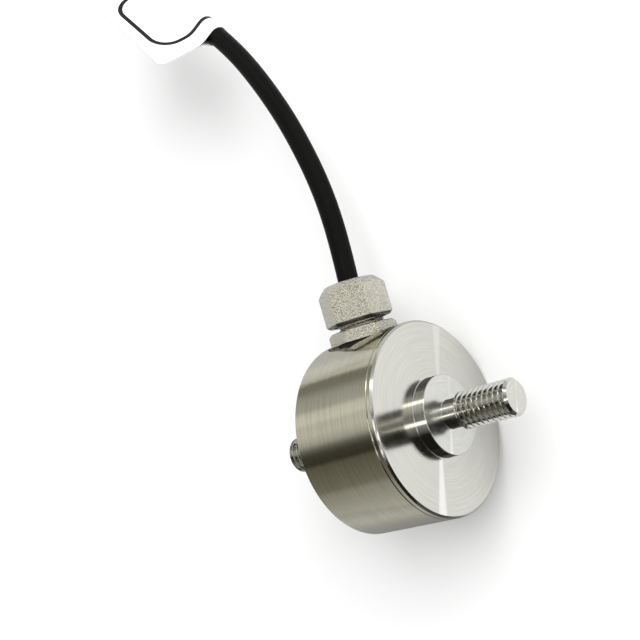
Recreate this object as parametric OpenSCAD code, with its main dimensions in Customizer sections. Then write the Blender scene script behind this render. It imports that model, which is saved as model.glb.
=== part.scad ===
// In-line load cell for pull and push, with a threaded stud on each end.
// X runs along the studs towards the sensing face, Y along the cable gland, Z is up.
// The origin is on the stud axis, in the plane of the body's rear face, where the rear hub starts.
// The cell lies on the curved side of its body. Lengths are in millimetres.

/* [Body] */
// Diameter of the body
body_d = 32; // [31:0.5:40]
// Length of the body between its two flat faces
body_l = 16.6; // [15.5:0.1:24]
// Bevel on the edges of both flat faces
face_bevel = 0.35; // [0.1:0.05:0.6]
// Thickness of the sensing disc's rim, which shows in front of the seam
rim_t = 1.1; // [0.9:0.1:1.6]
// Bevel on each side of the seam between the disc and the housing
seam_bevel = 0.12; // [0.05:0.01:0.2]
// Diameter of the hollow inside
cavity_d = 22; // [21:0.5:23]
// Thickness of the housing's end wall
end_wall = 2.4; // [1.8:0.1:2.6]
// Height of the round boss that carries the terminal board
board_boss_h = 1.6; // [1.2:0.1:1.6]
// Diameter of that boss
board_boss_d = 11; // [8:0.5:12]

/* [Sensing disc] */
// Depth of the step that the spigot sits in, outside the hollow
spigot_step = 2; // [1.5:0.1:2.5]
// Length of the spigot behind the seam
spigot_l = 1.6; // [1:0.1:1.9]
// Thickness of the web that bends under load
web_t = 2; // [1.6:0.1:2.2]
// Width of the web, from the stiff core to the edge of the hollow
web_w = 6; // [5.8:0.1:6.4]
// How far the core reaches into the hollow, past the web
core_l = 1.6; // [1:0.1:3]
// Radius of the fillets beside the web
web_fillet = 0.3; // [0.1:0.05:0.4]

/* [Studs] */
// Outside diameter of the stud thread
stud_d = 6; // [5:0.5:8]
// Length of each stud from its hub
stud_l = 12.7; // [9:0.1:20]
// Diameter of the run-out neck beside the hub
neck_d = 4.7; // [3.8:0.1:4.8]
// Length of the neck
neck_l = 2.3; // [1:0.1:3]
// Fillet where the neck meets the hub
neck_fillet = 0.35; // [0.1:0.05:0.6]
// Bevel on the stud's tip
stud_bevel = 0.4; // [0.2:0.05:0.8]
// Diameter of the hub round each stud
hub_d = 13; // [11:0.5:16]
// Height of the hub above the face
hub_h = 2.2; // [1:0.1:4]
// Bevel on the hub's edge
hub_bevel = 0.15; // [0.05:0.05:0.4]

/* [Cable gland] */
// Distance of the gland's axis from the body's rear face
gland_from_rear = 6.5; // [6.5:0.1:7.5]
// Diameter of the flat milled for the gland's gasket
spot_d = 12.8; // [11.8:0.1:13]
// Depth of that flat below the top of the curved side
spot_depth = 1.2; // [0.8:0.1:1.3]
// Outside diameter of the gland's two threads
thread_d = 8; // [7.5:0.1:8.2]
// Length of the lower thread, measured from the flat
stem_l = 3.4; // [2.5:0.1:3.6]
// Thickness of the gasket
gasket_t = 0.8; // [0.6:0.1:1.6]
// Width of the gasket's ring, from the thread outwards
gasket_w = 0.9; // [0.7:0.1:1.6]
// Width across the flats of both hexagons
hex_af = 10; // [9.6:0.1:12]
// Thickness of the lower hexagon
hex_t = 2; // [1.5:0.1:3]
// Strip of thread that shows between the hexagon and the cap
thread_gap = 1; // [0.4:0.1:2]
// Height of the cap
cap_h = 6.8; // [6.4:0.1:9]
// Thickness of the cap's roof
cap_roof = 1.7; // [1:0.1:2.2]
// Radius of the cap's rounded top edge
cap_round = 1.8; // [1:0.1:2]
// Height of the bevels beside the visible thread
hex_bevel = 0.5; // [0.2:0.05:0.7]
// Turn of the cap about the gland's axis
cap_turn = 29; // [0:1:59]
// Turn of the lower hexagon about the gland's axis
hex_turn = 36; // [0:1:59]
// Outside diameter of the rubber bush
bush_d = 5.8; // [5:0.1:6]
// Thickness of the slip ring above the bush
slip_ring_t = 0.5; // [0.3:0.05:0.8]

/* [Cable] */
// Diameter of the cable
cable_d = 3.5; // [3.3:0.1:3.7]
// Length of the jacket that reaches into the hollow
jacket_inside = 1.6; // [1.4:0.1:2.2]
// Diameter of one insulated core
core_wire_d = 0.9; // [0.6:0.05:1]
// Rows and columns of turns in the coil
coil_turns = 4; // [4:1:4]
// Mean diameter of the coil
coil_mean_d = 38; // [36:1:40]
// Thickness of the coil ties
tie_t = 0.6; // [0.4:0.1:0.8]
// Length of coil that each tie covers, in degrees
tie_angle = 8; // [5:1:12]
// Outside diameter of the shrink sleeve on the stripped end
sleeve_d = 4.2; // [4:0.1:4.5]
// Length of the shrink sleeve
sleeve_l = 10.5; // [8:0.5:12]

/* [Flag tag] */
// Length of the tag along the cable
tag_l = 24; // [16:0.5:24]
// Distance of the tag from the start of the cable's straight stretch
tag_offset = 1.3; // [0:0.1:1.6]
// How far the tag stands out from the cable's axis
tag_w = 12.4; // [8:0.1:18]
// Thickness of the folded film
tag_t = 0.25; // [0.15:0.05:0.4]
// Slope of the tag above the level
tag_slope = 55; // [20:1:80]
// Radius of the tag's corners
tag_corner = 1.2; // [0.4:0.1:2]

/* [Electrics] */
// Radial length of a strain gauge
gauge_l = 2; // [1.8:0.1:2.2]
// Width of a strain gauge
gauge_w = 2.6; // [2.2:0.1:3]
// Thickness of a gauge's film
film_t = 0.1; // [0.06:0.01:0.15]
// Thickness of a gauge's foil
foil_t = 0.05; // [0.03:0.01:0.08]
// Thickness of the soft coating over the gauges
coat_t = 0.8; // [0.5:0.1:1]
// Diameter of a gauge lead
gauge_lead_d = 0.25; // [0.15:0.05:0.35]
// Diameter of the terminal board
board_d = 13; // [12.5:0.5:14]
// Thickness of the terminal board
board_t = 0.8; // [0.6:0.1:0.8]

/* [Hidden] */
$fn = 96;

// Colours of the finishes
steel = [0.78, 0.77, 0.73];
nickel = [0.82, 0.80, 0.72];
black_rubber = [0.06, 0.06, 0.06];
black_jacket = [0.05, 0.05, 0.05];
white_film = [0.95, 0.95, 0.94];
gauge_amber = [0.80, 0.55, 0.20];
board_green = [0.12, 0.35, 0.18];
silicone_white = [0.88, 0.88, 0.85];

// Clearances of the fits
spigot_gap = 0.02;
thread_gap_r = 0.05;
bore_gap = 0.15;
bush_gap = 0.1;
wrap_gap = 0.04;

// Diameters of the stiff core, and of the spigot that centres the disc in the housing
core_d = cavity_d - 2 * web_w;
spigot_d = cavity_d + 2 * spigot_step;

// Planes across the stud axis
front_face = body_l;
seam = front_face - rim_t;
end_inside = end_wall;
board_seat = end_inside + board_boss_h;
board_top = board_seat + board_t;
web_inside = front_face - web_t;
core_end = web_inside - core_l;
spigot_end = seam - spigot_l;

// Levels up the gland's axis
gland_x = gland_from_rear;
spot_y = body_d / 2 - spot_depth;
hex_y = spot_y + gasket_t;
nose_y = hex_y + hex_t;
cap_y = nose_y + thread_gap;
cap_top = cap_y + cap_h;
roof_y = cap_top - cap_roof;
slip_y = roof_y - slip_ring_t;
bush_l = 3.8;
bush_y = slip_y - bush_l;
nose_clear = 0.3;
nose_top = slip_y - nose_clear;
stem_end = spot_y - stem_l;
jacket_end = stem_end - jacket_inside;
cable_r = cable_d / 2;
male_d = thread_d - 2 * thread_gap_r;
hex_corner_r = hex_af / sqrt(3);
turned_r = hex_corner_r + 0.05;
bevel_w = 1.2 * hex_bevel;

// Strain gauges: radius of each gauge's middle, and the side of the web that it is on
gauge_margin = 0.2;
gauge_inner_r = core_d / 2 + web_fillet + gauge_margin + gauge_l / 2;
gauge_outer_r = cavity_d / 2 - web_fillet - gauge_margin - gauge_l / 2;
gauge_places = [[gauge_inner_r, 0], [gauge_outer_r, 0], [gauge_inner_r, 180], [gauge_outer_r, 180]];
gauge_top = web_inside - film_t - foil_t;

// Where the two leads of a gauge stand on its tabs: to each side, and in from the gauge's middle
lead_edge = 0.3;
lead_side = gauge_w / 2 - lead_edge;
lead_in = gauge_l / 2 - lead_edge;

// Terminal board: soldering points for the cores and the gauge leads
pad_y = 4.4;
pad_pitch = 2.2;
lead_pad_r = board_d / 2 - 0.7;
land_near = 1.2;
land_far = 2.6;
board_hole_d = 1.6;

// Cable: the route from the cap to the coil, points chosen by hand
cable_route = [[gland_x, cap_top, 0], [6.75, 30, 0], [6.85, 35, 0], [6.55, 40, -0.05],
               [5.8, 45, -0.1], [4.65, 50, -0.15], [3.2, 55, -0.2], [1.3, 60, -0.3],
               [-0.9, 64.9, -0.4], [-3.5, 69.7, -0.55], [-6.6, 74.3, -0.75], [-10.6, 79.4, -1.15],
               [-14.6, 84.5, -1.55], [-18.6, 89.6, -1.95], [-22.6, 94.7, -2.35], [-26.7, 100, -3.4],
               [-30.6, 105.4, -5.3], [-34.3, 111, -7.8], [-37.9, 116.6, -10.2],
               [-41.3, 122.3, -12.1], [-44.6, 128.2, -13.25], [-47.7, 134.1, -13.65]];
tag_start = cable_route[10];
tag_end = cable_route[14];
coil_centre = [-26, 145.3];
table_z = -16;
coil_bottom = table_z + tie_t;
coil_section = coil_turns * cable_d;
coil_top = coil_bottom + coil_section;
coil_inner_r = (coil_mean_d - coil_section) / 2;
tie_places = [75, 255];

// The last bit of cable climbs onto the coil: points chosen by hand, from the coil's middle and top
tail_steps = [[22.3, 8.8, -0.85], [22.9, 5, 0.4], [22.4, 1.4, 1.3], [21, -2, 1.75],
              [18.8, -5, 1.8], [15.8, -7.2, 1.9], [12.3, -8.6, 2], [8.6, -9, 2.1]];
tail_route = [for (point = tail_steps) [coil_centre[0], coil_centre[1], coil_top] + point];

// Stripped end: where each lead leaves the sleeve and where its tip lies
sleeve_start = tail_route[len(tail_route) - 1];
sleeve_end = sleeve_start - [sleeve_l, 0, 0];
lead_d = 1;
lead_rest_z = coil_top + lead_d / 2;
lead_tips = [for (point = [[-21.5, -5.2], [-22.5, -7], [-22.8, -8.8], [-22.2, -10.6], [-20.5, -12]])
    coil_centre + point];
lead_bundle_r = 1;

// Turns a shape drawn along Z so that it runs along X
module along_x() { rotate([0, 90, 0]) children(); }

// Turns a shape drawn along Z so that it runs along Y, on the gland's axis
module along_gland() { translate([gland_x, 0, 0]) rotate([-90, 0, 0]) children(); }

// A ring about Z from z = 0, with the bore's and the rim's radius
module ring(inner_r, outer_r, h) {
    difference() {
        cylinder(h = h, r = outer_r);
        translate([0, 0, -1]) cylinder(h = h + 2, r = inner_r);
    }
}

// Points along an arc between two angles
function arc(centre, r, from, to, steps = 6) = [for (k = [0:steps])
    let (a = from + (to - from) * k / steps) centre + r * [cos(a), sin(a)]];

// Outline of a hub with its stud, from the hub's foot to the tip: radius across, length out of the face
stud_tip = hub_h + stud_l;
thread_start = hub_h + neck_l + (stud_d - neck_d) / 4;
stud_outline = concat(
    [[hub_d / 2, 0], [hub_d / 2, hub_h - hub_bevel], [hub_d / 2 - hub_bevel, hub_h]],
    arc([neck_d / 2 + neck_fillet, hub_h + neck_fillet], neck_fillet, 270, 180),
    [[neck_d / 2, hub_h + neck_l], [stud_d / 2, thread_start], [stud_d / 2, stud_tip - stud_bevel],
     [stud_d / 2 - stud_bevel, stud_tip], [0, stud_tip]]);

// Cup with the end wall, the rear hub and the rear stud, turned from one bar
module housing() {
    rear_outline = [for (k = [len(stud_outline) - 1:-1:0]) [stud_outline[k][0], -stud_outline[k][1]]];
    color(steel) difference() {
        along_x() rotate_extrude($fn = 180) difference() {
            polygon(concat(rear_outline,
                [[body_d / 2 - face_bevel, 0], [body_d / 2, face_bevel], [body_d / 2, seam - seam_bevel],
                 [body_d / 2 - seam_bevel, seam], [0, seam]]));
            translate([board_boss_d / 2, end_inside])
                square([(cavity_d - board_boss_d) / 2, body_l]);
            translate([-1, board_seat]) square([1 + cavity_d / 2, body_l]);
            translate([-1, spigot_end]) square([1 + spigot_d / 2, body_l]);
        }
        along_gland() translate([0, 0, spot_y]) cylinder(h = body_d, d = spot_d);
        along_gland() translate([0, 0, body_d / 4]) cylinder(h = body_d, d = thread_d);
    }
}

// Disc with the bending web, the stiff core, the front hub and the front stud, turned from one bar
module sensing_element() {
    spigot_r = spigot_d / 2 - spigot_gap;
    core_r = core_d / 2;
    cavity_r = cavity_d / 2;
    fillet_x = web_inside - web_fillet;
    color(steel) along_x() rotate_extrude($fn = 180) polygon(concat(
        [[0, core_end], [core_r, core_end]],
        arc([core_r + web_fillet, fillet_x], web_fillet, 180, 90),
        arc([cavity_r - web_fillet, fillet_x], web_fillet, 90, 0),
        [[cavity_r, spigot_end], [spigot_r, spigot_end], [spigot_r, seam],
         [body_d / 2 - seam_bevel, seam], [body_d / 2, seam + seam_bevel],
         [body_d / 2, front_face - face_bevel], [body_d / 2 - face_bevel, front_face]],
        [for (point = stud_outline) point + [0, front_face]]));
}

// Places a flat shape, drawn with its length along X, on the inside of the web
module on_web(place) {
    rotate([place[1], 0, 0]) translate([web_inside, 0, place[0]]) rotate([0, -90, 0]) children();
}

// Foil gauge: film, a grid of parallel strands and two tabs
module strain_gauge(i) {
    strands = 6;
    strand_w = 0.14;
    pitch = 2 * lead_side / (strands - 1);
    grid_start = -gauge_l / 2 + 0.75;
    grid_l = gauge_l / 2;
    tab_w = 0.45;
    tab_start = -gauge_l / 2 + 0.1;
    color(gauge_amber) on_web(gauge_places[i]) {
        translate([-gauge_l / 2, -gauge_w / 2, 0]) cube([gauge_l, gauge_w, film_t]);
        translate([0, 0, film_t]) linear_extrude(foil_t) {
            for (k = [0:strands - 1])
                translate([grid_start, (k - (strands - 1) / 2) * pitch - strand_w / 2])
                    square([grid_l, strand_w]);
            for (k = [0:strands - 2])
                translate([grid_start + (k % 2 == 0 ? grid_l - strand_w : 0),
                           (k - (strands - 1) / 2) * pitch - strand_w / 2])
                    square([strand_w, pitch + strand_w]);
            for (s = [-1, 1])
                translate([tab_start, s * lead_side - tab_w / 2])
                    square([grid_start - tab_start + strand_w, tab_w]);
        }
    }
}

// Soft cover bedded over the gauges, with pockets for them and their leads
module gauge_coating() {
    color(silicone_white) difference() {
        translate([web_inside - coat_t, 0, 0]) along_x()
            ring(core_d / 2 + web_fillet, cavity_d / 2 - web_fillet, coat_t);
        for (place = gauge_places) on_web(place) {
            translate([-gauge_l / 2, -gauge_w / 2, -1]) cube([gauge_l, gauge_w, 1 + film_t + foil_t]);
            for (s = [-1, 1]) translate([-lead_in, s * lead_side, 0])
                cylinder(h = 2 * coat_t, d = gauge_lead_d + 0.1, $fn = 24);
        }
    }
}

// Pair of fine leads from a gauge's tabs to the rim of the terminal board
module gauge_leads(i) {
    r = gauge_places[i][0] - lead_in;
    land = gauge_places[i][0] == gauge_inner_r ? land_near : land_far;
    pad_z = sqrt(lead_pad_r * lead_pad_r - land * land);
    middle_x = (gauge_top + board_top) / 2;
    color("goldenrod") rotate([gauge_places[i][1], 0, 0]) for (s = [-1, 1])
        tube(bend([gauge_top, s * lead_side, r], [middle_x, s * lead_side, r],
                  [middle_x, s * land, pad_z], [board_top, s * land, pad_z], 6), gauge_lead_d / 2, 6);
}

// Round board with plated lands for the cores and the leads
module terminal_board() {
    color(board_green) translate([board_seat, 0, 0]) along_x() difference() {
        cylinder(h = board_t, d = board_d);
        translate([0, 0, -1]) cylinder(h = board_t + 2, d = board_hole_d, $fn = 48);
    }
}

// Small resistor that trims the bridge, on the board beside its middle
module trim_resistor(i) {
    body_len = 2.4;
    body_dia = 1;
    cap_dia = 1.1;
    cap_len = 0.5;
    start_y = -1.2;
    color("saddlebrown") translate([board_top + cap_dia / 2, start_y, (i - 1) * pad_pitch])
        rotate([90, 0, 0]) {
            cylinder(h = body_len, d = body_dia, $fn = 32);
            for (z = [-cap_len / 2, body_len - cap_len / 2]) translate([0, 0, z])
                cylinder(h = cap_len, d = cap_dia, $fn = 32);
        }
}

// One insulated core from the end of the jacket to its land on the board
module inner_core(i, shade) {
    side = i < 2 ? -1 : 1;
    outer = (i == 0 || i == 3) ? 1 : -1;
    spread = 0.55;
    reach = 3;
    land_z = (i - 1.5) * pad_pitch;
    start = [gland_x + outer * spread, jacket_end, side * spread];
    color(shade) tube(bend(start, start - [0, reach, 0], [board_top + reach, pad_y, land_z],
                           [board_top, pad_y, land_z], 8), core_wire_d / 2);
}

// Narrow tie round the jacket inside the hollow, which stops it being pulled out
module strain_tie() {
    strap_t = 0.7;
    strap_w = 1;
    head = 1.6;
    from_jacket_end = 0.3;
    color(black_rubber) along_gland() translate([0, 0, jacket_end + from_jacket_end]) {
        ring(cable_r, cable_r + strap_t, strap_w);
        translate([-head / 2, -cable_r - strap_t / 2 - head, 0]) cube([head, head, strap_w]);
    }
}

// Jacket inside the gland and just past it
module cable_entry() {
    color(black_jacket) along_gland() translate([0, 0, jacket_end])
        cylinder(h = cap_top - jacket_end, r = cable_r);
}

// Soft ring between the milled flat and the lower hexagon
module gland_gasket() {
    color(black_rubber) along_gland() translate([0, 0, spot_y])
        ring(thread_d / 2, thread_d / 2 + gasket_w, gasket_t);
}

// Hexagon of the gland, rounded off by the turned shape that is its child
module hexagon(h, turn) {
    intersection() {
        rotate(turn) cylinder(h = h, r = hex_corner_r, $fn = 6);
        children();
    }
}

// Gland body: lower thread, hexagon, upper thread and the seat of the bush
module gland_body() {
    lead_bevel = 0.3;
    color(nickel) along_gland() difference() {
        union() {
            translate([0, 0, stem_end]) rotate_extrude() polygon([
                [0, 0], [male_d / 2 - lead_bevel, 0], [male_d / 2, lead_bevel],
                [male_d / 2, nose_top - stem_end - lead_bevel],
                [male_d / 2 - lead_bevel, nose_top - stem_end], [0, nose_top - stem_end]]);
            translate([0, 0, hex_y]) hexagon(hex_t, hex_turn) rotate_extrude() polygon([
                [0, 0], [turned_r, 0], [turned_r, hex_t - hex_bevel],
                [turned_r - bevel_w, hex_t], [0, hex_t]]);
        }
        translate([0, 0, stem_end - 1]) cylinder(h = nose_top - stem_end + 2, r = cable_r + bore_gap);
        translate([0, 0, bush_y]) cylinder(h = nose_top, d = bush_d + 2 * bush_gap);
    }
}

// Rubber bush that the cap squeezes round the jacket
module gland_bush() {
    lead_in_bevel = 0.4;
    color(black_rubber) along_gland() translate([0, 0, bush_y]) difference() {
        rotate_extrude() polygon([[0, 0], [bush_d / 2 - lead_in_bevel, 0], [bush_d / 2, lead_in_bevel],
                                  [bush_d / 2, bush_l], [0, bush_l]]);
        translate([0, 0, -1]) cylinder(h = bush_l + 2, r = cable_r);
    }
}

// Thin metal ring that lets the cap turn on the bush
module gland_slip_ring() {
    rim = 0.2;
    color(nickel) along_gland() translate([0, 0, slip_y])
        ring(cable_r + bore_gap, bush_d / 2 + rim, slip_ring_t);
}

// Gland cap: hexagon with a rounded top, threaded inside
module gland_cap() {
    mouth = 0.4;
    color(nickel) along_gland() difference() {
        translate([0, 0, cap_y]) hexagon(cap_h, cap_turn) rotate_extrude() {
            polygon([[0, 0], [turned_r - bevel_w, 0], [turned_r, hex_bevel],
                     [turned_r, cap_h - cap_round], [0, cap_h - cap_round]]);
            square([turned_r - cap_round, cap_h]);
            translate([turned_r - cap_round, cap_h - cap_round]) intersection() {
                circle(r = cap_round);
                square(cap_round);
            }
        }
        translate([0, 0, cap_y - 1]) cylinder(h = roof_y - cap_y + 1, d = thread_d);
        translate([0, 0, cap_y]) cylinder(h = cap_h + 1, r = cable_r + bore_gap);
        translate([0, 0, cap_y]) cylinder(h = mouth, d1 = thread_d + 2 * mouth, d2 = thread_d);
    }
}

// Unit vector, and the direction of a route at one of its points
function unit(v) = v / norm(v);
function heading(p, i) = unit(p[min(i + 1, len(p) - 1)] - p[max(i - 1, 0)]);

// Ring of points round a route, square to its heading, with a flat side down
function tube_ring(p, i, r, sides) =
    let (t = heading(p, i), across = unit(cross(t, [0, 0, 1])), up = cross(across, t))
    [for (k = [0:sides - 1]) let (a = (k + 0.5) * 360 / sides) p[i] + r * (cos(a) * across + sin(a) * up)];

// Points along a smooth bend from a to d, which leaves a towards b and reaches d from c
function bend(a, b, c, d, steps) = [for (i = [0:steps]) let (t = i / steps, u = 1 - t)
    u * u * u * a + 3 * u * u * t * b + 3 * u * t * t * c + t * t * t * d];

// Round cable or wire along a route, as one closed tube; r is one radius or one for each point
module tube(p, r, sides = 8) {
    rings = len(p);
    points = [for (i = [0:rings - 1]) each tube_ring(p, i, is_list(r) ? r[i] : r, sides)];
    walls = [for (i = [0:rings - 2], k = [0:sides - 1]) let (next = (k + 1) % sides)
        [i * sides + k, (i + 1) * sides + k, (i + 1) * sides + next, i * sides + next]];
    near_end = [[for (k = [0:sides - 1]) k]];
    far_end = [[for (k = [sides - 1:-1:0]) (rings - 1) * sides + k]];
    polyhedron(points = points, faces = concat(walls, near_end, far_end), convexity = 4);
}

module cable() { color(black_jacket) tube(cable_route, cable_r); }

module cable_tail() { color(black_jacket) tube(tail_route, cable_r); }

// Outline of the coil's section, grown by t: radius across, height up
module coil_outline(t) {
    round_r = cable_r + t;
    x0 = coil_inner_r - t;
    y0 = coil_bottom - t;
    side = coil_section + 2 * t;
    translate([x0 + round_r, y0]) square([side - 2 * round_r, side]);
    translate([x0, y0 + round_r]) square([side, side - 2 * round_r]);
    for (x = [x0 + round_r, x0 + side - round_r], y = [y0 + round_r, y0 + side - round_r])
        translate([x, y]) circle(r = round_r, $fn = 48);
}

// The stored length of cable, as the outer shape of its turns
module cable_coil() {
    color(black_jacket) translate(coil_centre) rotate_extrude() coil_outline(0);
}

// Tie round the section of the coil
module coil_tie(i) {
    color("dimgray") translate(coil_centre) rotate(tie_places[i] - tie_angle / 2)
        rotate_extrude(angle = tie_angle) difference() {
            coil_outline(tie_t);
            coil_outline(0);
        }
}

// Film tag folded round the cable, with the free part standing out to the side
module flag_tag() {
    v = tag_end - tag_start;
    turn = atan2(v[1], v[0]);
    climb = atan2(v[2], norm([v[0], v[1]]));
    film = tag_t / 2;
    wrap_r = cable_r + wrap_gap;
    color(white_film) translate(tag_start + tag_offset * unit(v))
        rotate([tag_slope, -climb, turn]) intersection() {
            rotate([90, 0, 90]) linear_extrude(tag_l) difference() {
                union() {
                    circle(r = wrap_r + film);
                    translate([0, -film]) square([tag_w, tag_t]);
                }
                circle(r = wrap_r);
            }
            translate([0, 0, -2 * cable_d]) linear_extrude(4 * cable_d) {
                translate([0, -cable_d]) square([tag_l, tag_w + cable_d - tag_corner]);
                translate([tag_corner, -cable_d]) square([tag_l - 2 * tag_corner, tag_w + cable_d]);
                for (x = [tag_corner, tag_l - tag_corner])
                    translate([x, tag_w - tag_corner]) circle(r = tag_corner, $fn = 48);
            }
        }
}

// Shrink sleeve over the end of the jacket
module end_sleeve() {
    color(black_rubber) translate(sleeve_end) rotate([0, 90, 0]) cylinder(h = sleeve_l, d = sleeve_d);
}

// One stripped lead with its tinned tip, from the sleeve to the top of the coil
module lead(i, shade) {
    bare_l = 4;
    bare_r = 0.3;
    skin_step = 0.05;
    steps = 6;
    straight = 6;
    lead_out = 8;
    fan_from = 20;
    a = 90 + i * 360 / len(lead_tips);
    start = sleeve_end + lead_bundle_r * [0, cos(a), sin(a)];
    tip = [lead_tips[i][0], lead_tips[i][1], lead_rest_z];
    fan = unit([-fan_from, tip[1] - start[1], 0]);
    skin_end = tip - bare_l * fan;
    skin = bend(start, start - [straight, 0, 0], skin_end - lead_out * fan, skin_end, steps);
    radii = concat([for (k = [0:steps]) lead_d / 2], [bare_r, bare_r]);
    color(shade) tube(concat(skin, [skin_end + skin_step * fan, tip]), radii, 6);
}

housing();
sensing_element();
strain_gauge(0);  // strain_gauge_1
strain_gauge(1);  // strain_gauge_2
strain_gauge(2);  // strain_gauge_3
strain_gauge(3);  // strain_gauge_4
gauge_coating();
gauge_leads(0);  // gauge_leads_1
gauge_leads(1);  // gauge_leads_2
gauge_leads(2);  // gauge_leads_3
gauge_leads(3);  // gauge_leads_4
terminal_board();
trim_resistor(0);  // trim_resistor_1
trim_resistor(1);  // trim_resistor_2
trim_resistor(2);  // trim_resistor_3
inner_core(0, "red");  // inner_core_red
inner_core(1, "green");  // inner_core_green
inner_core(2, "white");  // inner_core_white
inner_core(3, "black");  // inner_core_black
strain_tie();
cable_entry();
gland_gasket();
gland_body();
gland_bush();
gland_slip_ring();
gland_cap();
cable();
flag_tag();
cable_coil();
coil_tie(0);  // coil_tie_1
coil_tie(1);  // coil_tie_2
cable_tail();
end_sleeve();
lead(0, "red");  // lead_red
lead(1, "green");  // lead_green
lead(2, "white");  // lead_white
lead(3, "black");  // lead_black
lead(4, "silver");  // lead_shield
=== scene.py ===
# %% [markdown]
# # A small load cell with two threaded studs, its gland and its cable
# The cell is a turned steel body, 32 mm across, that is screwed between two parts by its M6 studs.
# A cable gland sits on its curved side, and the cable runs on to a neat coil on the table.
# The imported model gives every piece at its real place, and this lesson dresses it. Blender works in
# metres, so the sizes below are given in millimetres and multiplied by MM once.

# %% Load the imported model
import math

import bmesh
import bpy
import numpy as np
from mathutils import Matrix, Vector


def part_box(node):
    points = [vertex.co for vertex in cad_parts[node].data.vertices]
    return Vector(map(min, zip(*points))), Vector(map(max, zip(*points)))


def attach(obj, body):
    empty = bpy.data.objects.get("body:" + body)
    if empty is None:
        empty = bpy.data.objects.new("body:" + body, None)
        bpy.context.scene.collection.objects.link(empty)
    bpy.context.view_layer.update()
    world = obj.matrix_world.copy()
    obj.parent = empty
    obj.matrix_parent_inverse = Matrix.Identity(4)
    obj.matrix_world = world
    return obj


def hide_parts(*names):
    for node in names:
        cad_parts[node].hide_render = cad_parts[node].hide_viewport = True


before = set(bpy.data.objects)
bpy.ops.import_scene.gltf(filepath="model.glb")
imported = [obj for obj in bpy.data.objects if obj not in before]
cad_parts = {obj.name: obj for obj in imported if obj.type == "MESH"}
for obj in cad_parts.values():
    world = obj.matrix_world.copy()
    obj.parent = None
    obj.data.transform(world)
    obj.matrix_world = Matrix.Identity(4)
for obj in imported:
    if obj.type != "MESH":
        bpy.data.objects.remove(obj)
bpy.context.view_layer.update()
MM = 0.001
print("nodes in the frame:", len(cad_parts))

# %% [markdown]
# ## Sizes
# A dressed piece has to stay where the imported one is. So the main planes are read from the boxes of
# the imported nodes, and only small details, such as a thread's pitch, are written as new values.
# X runs along the studs, Y up the gland, and Z away from the table.

# %% Sizes in millimetres


def low_high(node):
    """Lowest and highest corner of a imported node, in millimetres."""
    low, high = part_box(node)
    return np.array(low) / MM, np.array(high) / MM


housing_low, housing_high = low_high("housing")
disc_low, disc_high = low_high("sensing_element")
hex_low, hex_high = low_high("gland_body")
cap_low, cap_high = low_high("gland_cap")
gasket_low, gasket_high = low_high("gland_gasket")

body_r = housing_high[2]
table_z = -body_r
front_tip = disc_high[0]
rear_tip = housing_low[0]
stud_reach = -rear_tip
face_x = front_tip - stud_reach
seam_x = housing_high[0]
hub_h = 2.2
hub_r = 6.5
stud_r = 3.0
neck_r = 2.35
neck_l = 2.65
pitch = 1.0
cavity_r = 11.0
spigot_r = 13.0
spigot_l = 1.6
gland_x = (cap_low[0] + cap_high[0]) / 2
spot_y = gasket_low[1]
hex_y = gasket_high[1]
hex_t = 2.0
cap_y = cap_low[1]
cap_top = cap_high[1]
cable_r = 1.75
print("body radius", body_r, "front face", face_x, "seam", seam_x, "cap", cap_y, cap_top)

# %% [markdown]
# ## Camera
# The cell is seen from above its front, a hand's length away. The place, the view direction and the
# upward direction come from fitting the outlines of the body, the studs and the gland.

# %% Camera
camera_place = np.array([128.8, 2.8, 150.4])
camera_ahead = np.array([-0.6530, 0.0919, -0.7518])
camera_up = np.array([0.2658, 0.9573, -0.1138])
camera_lens = 66.2


def unit(v):
    """A vector, or each row of vectors, divided by its length."""
    return v / np.linalg.norm(v, axis=-1, keepdims=True)


def put(name, data):
    """New object of the scene that shows the data."""
    thing = bpy.data.objects.new(name, data)
    bpy.context.scene.collection.objects.link(thing)
    return thing


def aim(thing, right, upward, back, place):
    """Places an object: the columns of its matrix are its own X, Y and Z axes and its place."""
    columns = np.column_stack([right, upward, back, np.array(place) * MM])
    thing.matrix_world = Matrix([*columns.tolist(), [0, 0, 0, 1]])


ahead = unit(camera_ahead)
right = unit(np.cross(ahead, camera_up))
camera_data = bpy.data.cameras.new("camera")
camera_data.lens = camera_lens
camera_data.sensor_width = 36
camera_data.clip_start = 0.005
camera = put("camera", camera_data)
aim(camera, right, np.cross(right, ahead), -ahead, camera_place)
bpy.context.scene.camera = camera
print("camera", camera_place, "lens", camera_lens)

# %% [markdown]
# ## One way to make every surface
# All new pieces are grids of points: one direction runs along a profile or a path, the other runs
# round it. A single function turns such a grid into a closed mesh, so every piece gets its faces,
# its outward normals and its finish bands in the same way.

# %% Mesh from a grid


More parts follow.
